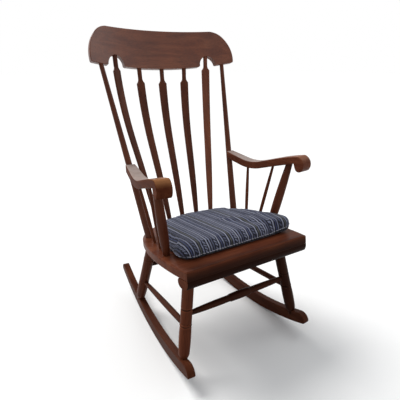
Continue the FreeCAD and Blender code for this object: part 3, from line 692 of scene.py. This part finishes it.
def shape_cushion(piece):
    """Rests the underside on the seat, pinches the seam and keeps within the cushion's place."""
    low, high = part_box("seat_cushion")
    for v in piece.data.vertices:
        x, u, w = off_seat(v.co)
        out = Vector((x, u - MIDDLE_U))
        size = max(out.length, 1e-6)
        near = math.exp(-((w - seam_height(x, u)) / SEAM_WIDTH) ** 2)
        pull = SEAM_PINCH * near * min(size / PINCH_FADE, 1.0)
        x, u = x - out.x / size * pull, u - out.y / size * pull
        v.co = on_seat(x, u, max(w, REST_GAP))
        for k in range(3):
            v.co[k] = clamped(v.co[k], low[k] - BOX_MARGIN, high[k] + BOX_MARGIN)


def keep_clear(piece, gap):
    """Moves the piece's surface away from the posts and spindles that stand beside it."""
    for name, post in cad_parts.items():
        if not name.startswith(BESIDE):
            continue
        tree = surface_of(post)
        for v in piece.data.vertices:
            spot, normal, _, _ = tree.find_nearest(v.co, BESIDE_REACH)
            if spot is not None and (v.co - spot).dot(normal) < gap:
                v.co = spot + normal * gap


# The cloth laid out flat, in metres: where the cushion narrows and over what length, how far inside its
# sides the cloth turns down and over what width, below what height, and how much of the drop it takes.
# The pattern is shifted to the right and rearward, so that all its places are above zero.
NARROW_START, NARROW_LENGTH, SIDE_INSET = 0.1, 0.26, 0.012
TURN_START, TURN_WIDTH, TURN_HEIGHT = 0.035, 0.03, 0.040
SIDE_SHARE, FRONT_SHARE = 0.55, 0.6
PATTERN_SHIFT = 0.5


def laid_out(point):
    """Place of a surface point on the flat cloth, and its height against the seam."""
    x, u, w = off_seat(point)
    narrow = clamped((u - NARROW_START) / NARROW_LENGTH)
    half = FRONT_HALF + (REAR_HALF - FRONT_HALF) * narrow - SIDE_INSET
    side = clamped((abs(x) - half + TURN_START) / TURN_WIDTH)
    drop = max(TURN_HEIGHT - w, 0.0)
    return (x + math.copysign(side * drop * SIDE_SHARE, x) + PATTERN_SHIFT,
            u - drop * FRONT_SHARE + PATTERN_SHIFT,
            w - seam_height(x, u))


def lay_pattern(piece):
    """Keeps each point's place on the laid-out cloth, so that the stripes follow the surface."""
    layer = piece.data.attributes.new("cloth_place", "FLOAT_VECTOR", "POINT")
    layer.data.foreach_set("vector", [value for v in piece.data.vertices for value in laid_out(v.co)])


def dress(piece, finish):
    """Lays the pattern on a smooth piece and gives it its cloth."""
    lay_pattern(piece)
    for face in piece.data.polygons:
        face.use_smooth = True
    piece.data.materials.clear()
    piece.data.materials.append(finish)


# welt, in metres: its radius, how far its middle stands off, and how far out the search for it starts
WELT_RADIUS, WELT_OUT, SEARCH_OUT = 0.0018, 0.0012, 0.05


def seam_spots(body):
    """Points just outside the cushion's surface, all the way round its seam."""
    tree = surface_of(body)
    spots = []
    for x, u in outline():
        away = Vector((x, u - MIDDLE_U)).normalized()
        level = seam_height(x, u)
        start = on_seat(x + away.x * SEARCH_OUT, u + away.y * SEARCH_OUT, level)
        target = on_seat(0.0, MIDDLE_U, level)
        hit = tree.ray_cast(start, (target - start).normalized())[0]
        if hit is not None:
            spots.append(hit + (start - target).normalized() * WELT_OUT)
    return spots


def tube(name, spots, radius):
    """Mesh of a closed round tube through the spots."""
    curve = bpy.data.curves.new(name, "CURVE")
    curve.dimensions = "3D"
    curve.bevel_depth = radius
    curve.bevel_resolution = 3
    line = curve.splines.new("POLY")
    line.points.add(len(spots) - 1)
    for point, spot in zip(line.points, spots):
        point.co = (*spot, 1.0)
    line.use_cyclic_u = True
    raw = show(curve, name + "_line")
    data = finished_mesh(raw)
    bpy.data.objects.remove(raw)
    return data


def make_welt(body, finish):
    """Thin sewn edge along the seam, from points found on the cushion's own surface."""
    welt = show(tube("cushion_welt", seam_spots(body), WELT_RADIUS), "cushion_welt")
    keep_clear(welt, WELT_GAP)
    dress(welt, finish)
    # height 0 keeps the welt out of the painted shade below the seam
    for value in welt.data.attributes["cloth_place"].data:
        value.vector[2] = 0.0
    return welt


def make_cushion():
    finish = cloth("striped_cloth")
    body = show(cushion_blank(), "cushion_body")
    remesh(body, VOXEL)
    inflate(body)
    shape_cushion(body)
    keep_clear(body, BODY_GAP)
    dress(body, finish)
    welt = make_welt(body, cloth("seam_cloth", stitched=True))
    step = body.modifiers.new("finer", "SUBSURF")
    step.levels = 1
    step.render_levels = 1
    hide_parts("seat_cushion")
    for piece in (body, welt):
        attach(piece, "cushion")


# white surroundings of the photograph: colours with a fourth value of 1, strengths, and sizes in metres
FLOOR_REACH, FLOOR_DROP = 60.0, 0.0005
FLOOR_DIM, FLOOR_PALE = (0.30, 0.29, 0.28, 1.0), (0.97, 0.97, 0.97, 1.0)
ROOM, ROOM_STRENGTH = (0.96, 0.98, 1.0, 1.0), 0.55
BACKDROP, BACKDROP_STRENGTH = (1.0, 1.0, 1.0, 1.0), 1.0

# lamps: the sun by its way, strength, spread in degrees and colour, the others by their place, way, width
# and power, in metres and watts
SUN_WAY, SUN_STRENGTH, SUN_SPREAD = (0.24, -0.60, -0.77), 2.3, 34
SUN_COLOUR = (1.0, 0.99, 0.97)
LAMPS = {
    "far_wall": ((0.56, 2.30, 1.34), (-0.34, -0.90, -0.27), 1.1, 6.0),
    "side_window": ((1.55, -0.25, 1.85), (-0.87, 0.27, -0.42), 0.9, 4.0),
}


def seen(tree):
    """1 for what the camera sees, straight or in glossy and clear surfaces."""
    path = add(tree, "ShaderNodeLightPath").outputs
    some = reckon(tree, "MAXIMUM", path["Is Camera Ray"], path["Is Glossy Ray"])
    return reckon(tree, "MAXIMUM", some, path["Is Transmission Ray"])


def floor_material():
    """White where the camera sees it, and dim for the light that it gives back."""
    material = bpy.data.materials.new("floor")
    tree = nodes_of(material)
    dim, pale = [add(tree, "ShaderNodeBsdfDiffuse", {"Color": colour}).outputs[0]
                 for colour in (FLOOR_DIM, FLOOR_PALE)]
    end_with(tree, add(tree, "ShaderNodeMixShader", {0: seen(tree), 1: dim, 2: pale}))
    return material


def make_floor():
    mesh = bmesh.new()
    bmesh.ops.create_grid(mesh, x_segments=2, y_segments=2, size=FLOOR_REACH)
    data = bpy.data.meshes.new("floor")
    mesh.to_mesh(data)
    mesh.free()
    floor = show(data, "floor")
    floor.location.z = -FLOOR_DROP
    data.materials.append(floor_material())


def make_world():
    world = bpy.data.worlds.new("surroundings")
    bpy.context.scene.world = world
    tree = nodes_of(world)
    room, white = [add(tree, "ShaderNodeBackground", {"Color": colour, "Strength": strength}).outputs[0]
                   for colour, strength in ((ROOM, ROOM_STRENGTH), (BACKDROP, BACKDROP_STRENGTH))]
    end_with(tree, add(tree, "ShaderNodeMixShader", {0: seen(tree), 1: room, 2: white}),
             "ShaderNodeOutputWorld")


def aim(thing, way):
    thing.rotation_euler = Vector(way).to_track_quat("-Z", "Y").to_euler()


def area(name, place, way, size, power):
    """Soft square lamp, which the camera doesn't see."""
    light = bpy.data.lights.new(name, "AREA")
    light.size = size
    light.energy = power
    lamp = show(light, name)
    lamp.location = place
    aim(lamp, way)
    lamp.visible_camera = False


def make_sun():
    """Soft window light from above, from behind the chair and a little from its left."""
    sun = bpy.data.lights.new("window_light", "SUN")
    sun.energy = SUN_STRENGTH
    sun.angle = math.radians(SUN_SPREAD)
    sun.color = SUN_COLOUR
    aim(show(sun, "window_light"), SUN_WAY)


def make_lamps():
    make_sun()
    for name, lamp in LAMPS.items():
        area(name, *lamp)


def make_camera():
    data = bpy.data.cameras.new("camera")
    data.sensor_width = SENSOR
    data.lens = LENS
    camera = show(data, "camera")
    camera.location = (CAMERA_AT[0], CAMERA_AT[1] - ORIGIN_Y, CAMERA_AT[2])
    aim(camera, CAMERA_WAY)
    bpy.context.scene.camera = camera


dress_wood()
make_cushion()
make_floor()
make_world()
make_lamps()
make_camera()
bpy.context.scene.view_settings.view_transform = "Standard"
